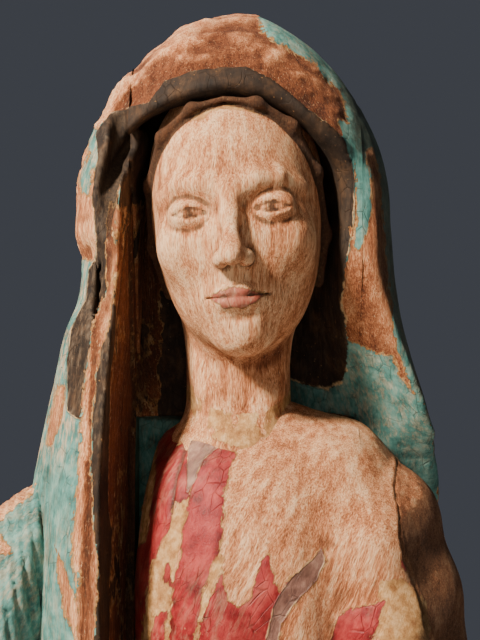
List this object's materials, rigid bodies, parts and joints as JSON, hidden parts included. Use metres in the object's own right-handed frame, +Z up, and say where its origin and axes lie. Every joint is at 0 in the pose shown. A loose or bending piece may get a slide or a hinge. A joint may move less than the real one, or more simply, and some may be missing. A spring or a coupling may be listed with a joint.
{
  "type": "madonna statue",
  "caption": "Standing carved wooden Madonna with a hooded mantle, one hand laid below the breast and one lowered, on a cut-cornered plinth; old flaking paint over bare wood.",
  "frame": {"origin": "centre of the plinth's underside, on the surface that the statue stands on", "axes": "+Z up; the figure looks along -Y, and its own right hand is on the -X side"},
  "size_m": [0.2689, 0.19, 0.772],
  "materials": {
    "carved_wood": "bare dry carved wood with traces of gesso",
    "mantle_paint": "flaking blue-green tempera on gesso over bare wood",
    "dress_paint": "flaking crimson paint on gesso, mostly worn to bare wood",
    "plinth_wood": "worn dark paint over wood",
    "dowel_wood": "turned hardwood",
    "shoe_paint": "worn brown paint",
    "forged_iron": "forged, rusted"
  },
  "bodies": {
    "root": {"trunk_block": "dress_paint", "back_block": "mantle_paint", "right_stave": "mantle_paint", "left_stave": "mantle_paint", "left_arm_block": "dress_paint", "head_and_neck": "carved_wood", "left_sleeve": "dress_paint", "left_hand": "carved_wood", "right_arm_drape": "mantle_paint", "right_sleeve": "dress_paint", "right_hand": "carved_wood", "right_shoe": "shoe_paint", "left_shoe": "shoe_paint", "plinth_lower_board": "plinth_wood", "plinth_top_board": "plinth_wood", "right_stave_dowels": "dowel_wood", "left_stave_dowels": "dowel_wood", "back_block_dowels": "dowel_wood", "neck_peg": "dowel_wood", "arm_drape_dowels": "dowel_wood", "left_arm_dowels": "dowel_wood", "left_elbow_dowel": "dowel_wood", "left_wrist_peg": "dowel_wood", "right_wrist_peg": "dowel_wood", "figure_screws": "forged_iron", "plinth_nails": "forged_iron"}
  },
  "joints": []
}
